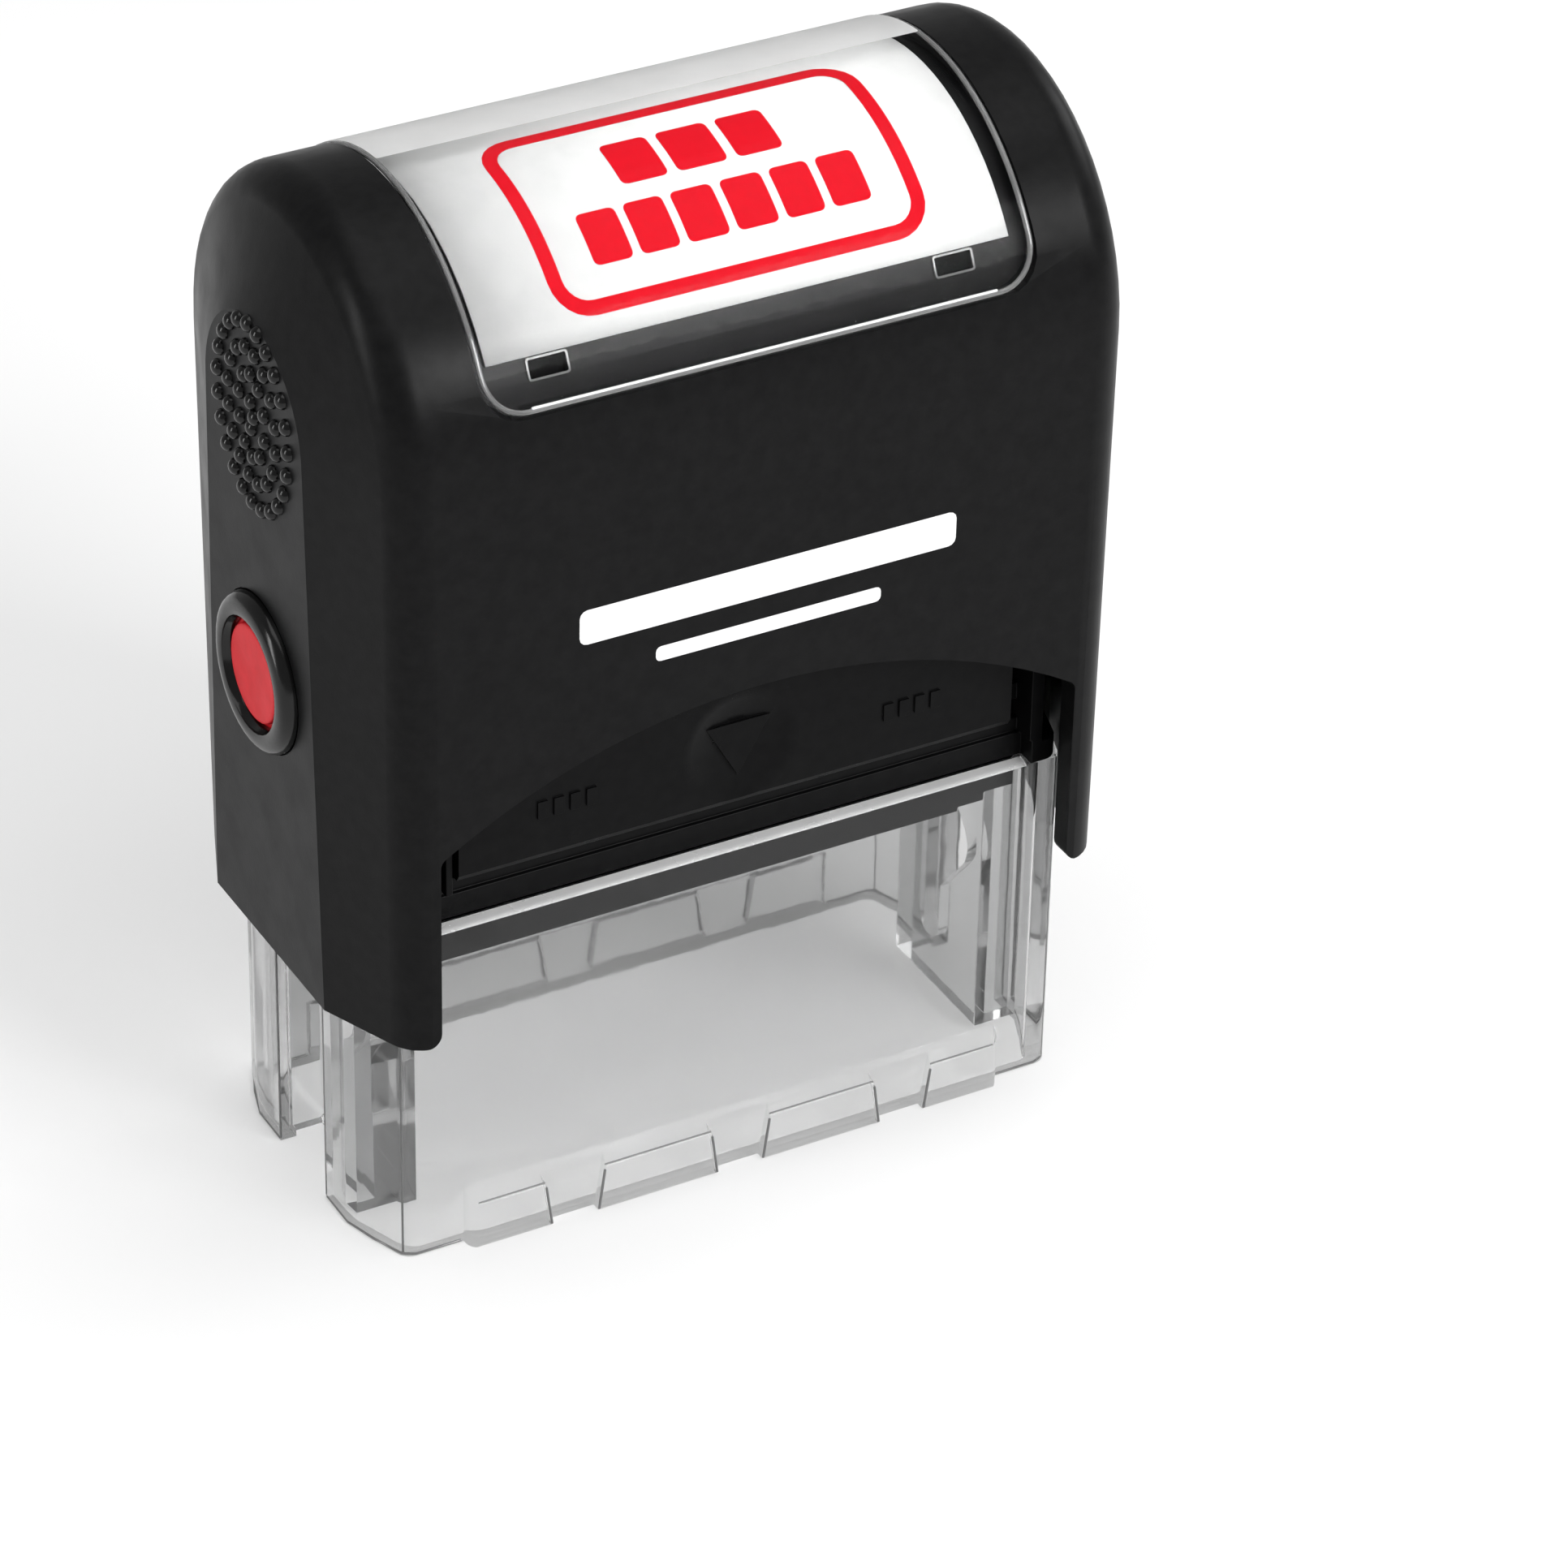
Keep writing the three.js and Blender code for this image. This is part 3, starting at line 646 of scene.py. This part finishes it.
for side, where in FRONT_BACK:
    skirt_lip(side, where + "_skirt_lip")


def rods(name, paths, radius):
    """Closed thin round bars in the skirt, one along each open path in millimetres; their dark tint is
    painted shade along the skirt's edges.
    """
    points, faces = [], []
    for path in paths:
        spine = [Vector(p) * MM for p in path]
        start = len(points)
        for i, middle in enumerate(spine):
            along = (spine[min(i + 1, len(spine) - 1)] - spine[max(i - 1, 0)]).normalized()
            across = along.cross(NO_ROD_WAY).normalized()
            out = across.cross(along)
            for k in range(ROD_AROUND):
                turn = 2 * math.pi * k / ROD_AROUND
                points.append(middle + (across * math.cos(turn) + out * math.sin(turn)) * radius)
        join_rings(faces, start, len(spine), ROD_AROUND)
        close_ends(faces, start, len(spine), ROD_AROUND)
    return add_piece(name, points, faces, SKIRT_EDGE_SHADE, "base")


# all in millimetres
NOTCH_X = (-13.8, 0, 13.8)
NOTCH_LOW, NOTCH_HIGH = 1.95, 2.42  # half width near the foot and near the top
NOTCH_Y, NOTCH_Z = 14.66, (0.2, 3.6)
BUMPER_X, BUMPER_Y, BUMPER_Z = 21.7, 14.55, 4.0  # its top edge
FOOT_PATH = [(29.0, 4.1), (29.0, 7.6), (28.2, 10.3), (27.1, 12.8), (26.2, 13.32), (22.6, 13.34)]
FOOT_Z = 0.16
CORNER_XY, CORNER_Z = ((29.0, 4.0), (27.05, 12.85)), (0.3, 27.5)

for side, where in FRONT_BACK:
    notches = [[(x + s * NOTCH_LOW, side * NOTCH_Y, NOTCH_Z[0]),
                (x + s * NOTCH_HIGH, side * NOTCH_Y, NOTCH_Z[1])] for x in NOTCH_X for s in (-1, 1)]
    rods(where + "_notch_lines", notches, 0.1 * MM)
    ends = [-BUMPER_X] + [x + s * (NOTCH_HIGH + 0.05) for x in NOTCH_X for s in (-1, 1)] + [BUMPER_X]
    tops = [[(x, side * BUMPER_Y, BUMPER_Z) for x in pair] for pair in zip(ends[::2], ends[1::2])]
    rods(where + "_bumper_lines", tops, 0.07 * MM)
    feet = [[(hand * x, side * y, FOOT_Z) for x, y in FOOT_PATH] for hand in (-1, 1)]
    rods(where + "_foot_lines", feet, 0.1 * MM)
    corners = [[(hand * x, side * y, z) for z in CORNER_Z] for hand in (-1, 1) for x, y in CORNER_XY]
    rods(where + "_corner_lines", corners, 0.09 * MM)


# ---------------------------------------------------------------- small parts of the frame

slab("front_left_post", (-23.35, -13.0, 30.6), (-22.8, -11.9, 43.4), INNER, "base")
slab("front_left_flange", (-23.8, -12.0, 24.65), (-19.0, -11.3, 27.8), INNER, "base")


# ---------------------------------------------------------------- foam and springs

FOAM_CORNER_R = 1.2 * MM
FOAM_STEP = 1.2 * MM
FOAM_SINK = 0.04 * MM  # how far the outer ring of an end face lies below its middle


def soft_block(node, edge, crown, material, body, name):
    """A foam block in the place of a CAD one, with rounded edges and slightly swollen faces."""
    low, high = (Vector(c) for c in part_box(node))
    middle, half = (low + high) / 2, (high - low) / 2
    points, faces = [], []

    def outline(inset, z):
        corner = FOAM_CORNER_R - min(inset, MM) * 0.5
        ring = rounded_rectangle(2 * (half.x - inset), 2 * (half.y - inset), corner, 4)
        return [Vector((middle.x + u, middle.y + v, z)) for u, v in subdivided(ring, FOAM_STEP)]

    # inset and height of each ring, from the bottom face over the drawn-in waist to the top face
    levels = [
        (edge, low.z + FOAM_SINK), (edge * 0.3, low.z + edge * 0.45), (0, low.z + edge * 1.2),
        (edge * 0.25, middle.z),
        (0, high.z - edge * 1.2), (edge * 0.3, high.z - edge * 0.45), (edge, high.z - FOAM_SINK),
    ]
    rings = [outline(inset, z) for inset, z in levels]
    count = min(len(ring) for ring in rings)
    rings = [[ring[i * len(ring) // count] for i in range(count)] for ring in rings]
    for ring in rings:
        points += ring
    join_rings(faces, 0, len(rings), count)
    for level, height, lift in ((0, low.z, -1), (len(rings) - 1, high.z, 1)):
        starts = (level * count, len(points), len(points) + count)
        for scale in (0.8, 0.5):
            points += [Vector((middle.x + (p.x - middle.x) * scale, middle.y + (p.y - middle.y) * scale,
                               height - lift * crown * scale ** 2)) for p in rings[level]]
        tip = len(points)
        points.append(Vector((middle.x, middle.y, height)))
        for a, b in zip(starts, starts[1:]):
            for i in range(count):
                j = (i + 1) % count
                faces.append((a + i, a + j, b + j, b + i))
        for i in range(count):
            faces.append((starts[2] + i, starts[2] + (i + 1) % count, tip))
    piece = add_piece(name, points, faces, material, body)
    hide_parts(node)


soft_block("ink_pad_foam", 0.35 * MM, 0.03 * MM, INK_FOAM, "pad", "ink_pad_sponge")
soft_block("die_cushion", 0.12 * MM, 0.01 * MM, GREY_FOAM, "die", "die_cushion_foam")


COIL_STEPS = 40  # points along one turn


def wire_coil(node, name, axis, turns, wire, body):
    """A round wire coil with closed ends in the place of a CAD one; wire is the wire's radius."""
    low, high = (Vector(c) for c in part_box(node))
    middle, size = (low + high) / 2, high - low
    along = Vector(axis)
    first = along.orthogonal().normalized()
    second = along.cross(first)
    span = size.dot(Vector([abs(c) for c in axis]))
    radius = max(size[i] for i in range(3) if not along[i]) / 2 - wire
    closed_rise = 2.05 * wire
    open_rise = (span - 2 * wire - 2 * closed_rise) / (turns - 2)
    count = turns * COIL_STEPS
    spine = []
    for i in range(count + 1):
        turn = i / COIL_STEPS
        closed = min(turn, 1) + max(turn - turns + 1, 0)
        rise = wire + closed * closed_rise + (turn - closed) * open_rise
        angle = 2 * math.pi * turn
        spine.append(middle + along * (rise - span / 2)
                     + (first * math.cos(angle) + second * math.sin(angle)) * radius)
    points, faces = [], []
    for i, centre in enumerate(spine):
        tangent = (spine[min(i + 1, count)] - spine[max(i - 1, 0)]).normalized()
        out = centre - middle
        out = (out - along * out.dot(along)).normalized()
        up = tangent.cross(out).normalized()
        for k in range(WIRE_AROUND):
            turn = 2 * math.pi * k / WIRE_AROUND
            points.append(centre + (out * math.cos(turn) + up * math.sin(turn)) * wire)
    join_rings(faces, 0, count + 1, WIRE_AROUND)
    close_ends(faces, 0, count + 1, WIRE_AROUND)
    piece = add_piece(name, points, faces, STEEL, body)
    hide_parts(node)
    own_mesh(piece)


wire_coil("return_spring", "return_coil", (0, 0, 1), 8, 0.45 * MM, "base")
for side, where in LEFT_RIGHT:
    wire_coil(where + "_button_spring", where + "_button_coil", (side, 0, 0), 3, 0.13 * MM, "cap")


# ---------------------------------------------------------------- print on the front of the cap

CAP_SURFACE = surface("cap_shell")
# half width, lower edge, upper edge and corner radius of each bar, in millimetres
MARK_BARS = [(15, 51.6, 54.4, 0.6), (9, 48.6, 49.8, 0.4)]


def on_front(u, v, level):
    """u to the right, v up; laid on the outer face of the cap from the front."""
    hit = CAP_SURFACE.ray_cast(Vector((u, -50 * MM, v)), Vector((0, 1, 0)))[0]
    return (u, hit.y - 0.003 * MM - level, v)


mark = Plates(on_front, INK)
for half, low, high, corner in MARK_BARS:
    mark.bar(-half * MM, half * MM, low * MM, high * MM, corner * MM, 2 * MM)
mark.build("front_mark", WHITE_INK, "cap")


# ---------------------------------------------------------------- grip dots on the sides

DOT_R, DOT_H = 0.66 * MM, 0.58 * MM
DOT_SINK = 0.05 * MM
DOT_RINGS, DOT_AROUND = 5, 14
DOT_MIDDLE_Z = 65.4 * MM
# half depth, half height and number of dots of each oval
DOT_OVALS = [(5.7 * MM, 7.1 * MM, 23), (3.9 * MM, 5.2 * MM, 16),
             (2.1 * MM, 3.3 * MM, 10), (0.3 * MM, 1.2 * MM, 3)]


def dome(points, faces, centre, out, up):
    """Adds a closed dome standing on centre, with out as its unit axis."""
    across = up.cross(out)
    start = len(points)
    for ring in range(DOT_RINGS):
        angle = math.pi / 2 * ring / DOT_RINGS
        r, h = DOT_R * math.cos(angle), DOT_H * math.sin(angle)
        for k in range(DOT_AROUND):
            turn = 2 * math.pi * k / DOT_AROUND
            points.append(centre + out * h + across * r * math.cos(turn) + up * r * math.sin(turn))
    points.append(centre + out * DOT_H)
    tip = len(points) - 1
    join_rings(faces, start, DOT_RINGS, DOT_AROUND)
    last = start + (DOT_RINGS - 1) * DOT_AROUND
    for k in range(DOT_AROUND):
        faces.append((last + k, last + (k + 1) % DOT_AROUND, tip))
    faces.append(tuple(start + k for k in reversed(range(DOT_AROUND))))


def grip_dots(side, name):
    points, faces = [], []
    for deep, tall, count in DOT_OVALS:
        for k in range(count):
            turn = 2 * math.pi * (k + 0.5) / count
            start = Vector((side * 60 * MM, deep * math.cos(turn), DOT_MIDDLE_Z + tall * math.sin(turn)))
            hit, normal = CAP_SURFACE.ray_cast(start, Vector((-side, 0, 0)))[:2]
            out = normal if normal.x * side > 0 else -normal
            dome(points, faces, hit - out * DOT_SINK, out, Vector((0, 0, 1)))
    add_piece(name, points, faces, GLOSS_BLACK, "cap")


for side, where in LEFT_RIGHT:
    grip_dots(side, where + "_grip_dots")


# ---------------------------------------------------------------- camera, floor and light

AZIMUTH, ELEVATION, ROLL = math.radians(-29.548), math.radians(33.435), math.radians(1.390)
DISTANCE, SHIFT_RIGHT, SHIFT_UP = 0.503598, 0.010325, 0.021337
LENS = 151.68
WORLD_STRENGTH = 0.4
FLOOR_HALF = 3.0
back = Vector((math.sin(AZIMUTH) * math.cos(ELEVATION), -math.cos(AZIMUTH) * math.cos(ELEVATION),
               math.sin(ELEVATION)))
level_right = Vector((math.cos(AZIMUTH), math.sin(AZIMUTH), 0))
level_up = back.cross(level_right)
right = level_right * math.cos(ROLL) + level_up * math.sin(ROLL)
up = level_up * math.cos(ROLL) - level_right * math.sin(ROLL)
camera = bpy.data.objects.new("camera", bpy.data.cameras.new("camera"))
camera.data.sensor_width = 36
camera.data.lens = LENS
camera.data.clip_start, camera.data.clip_end = 0.02, 20
camera.matrix_world = Matrix.LocRotScale(
    back * DISTANCE + right * SHIFT_RIGHT + up * SHIFT_UP,
    Matrix((right, up, back)).transposed().to_quaternion(), None)
SCENE.collection.objects.link(camera)
SCENE.camera = camera

floor_mesh = bpy.data.meshes.new("floor")
floor_corners = [(x * FLOOR_HALF, y * FLOOR_HALF, 0) for x, y in ((-1, -1), (1, -1), (1, 1), (-1, 1))]
floor_mesh.from_pydata(floor_corners, [], [(0, 1, 2, 3)])
floor = bpy.data.objects.new("floor", floor_mesh)
SCENE.collection.objects.link(floor)
pale = Shader("pale_floor", Roughness=0.9, Specular_IOR_Level=0.1)
pale.colour(pale.noise(8, 2), (0.86, 0.86, 0.86), (0.88, 0.88, 0.88))
floor.data.materials.append(pale.material)

world = bpy.data.worlds.new("studio")
SCENE.world = world
world.use_nodes = True
world.node_tree.nodes["Background"].inputs["Color"].default_value = (1, 1, 1, 1)
world.node_tree.nodes["Background"].inputs["Strength"].default_value = WORLD_STRENGTH


def softbox(name, place, target, width, height, power):
    """A rectangular lamp at place that faces target, in metres and watts."""
    lamp = bpy.data.objects.new(name, bpy.data.lights.new(name, "AREA"))
    lamp.data.shape = "RECTANGLE"
    lamp.data.size, lamp.data.size_y = width, height
    lamp.data.energy = power
    lamp.location = place
    lamp.rotation_mode = "QUATERNION"
    lamp.rotation_quaternion = (Vector(target) - Vector(place)).to_track_quat("-Z", "Y")
    SCENE.collection.objects.link(lamp)


softbox("top_box", (0.08, -0.1, 0.8), (0, 0, 0.03), 0.8, 0.7, 3.2)
softbox("left_box", (-0.75, 0.04, 0.3), (0, 0, 0.05), 0.14, 0.5, 2.2)
softbox("right_box", (0.7, 0.1, 0.35), (0, 0, 0.05), 0.4, 0.35, 1.2)
softbox("front_box", (0.26, -0.6, 0.44), (0, 0, 0.02), 0.36, 0.26, 4.2)

SCENE.view_settings.view_transform = "Standard"
SCENE.view_settings.look = "None"
SCENE.cycles.use_denoising = True
SCENE.cycles.max_bounces = 16
SCENE.cycles.transmission_bounces = 14
SCENE.cycles.transparent_max_bounces = 16
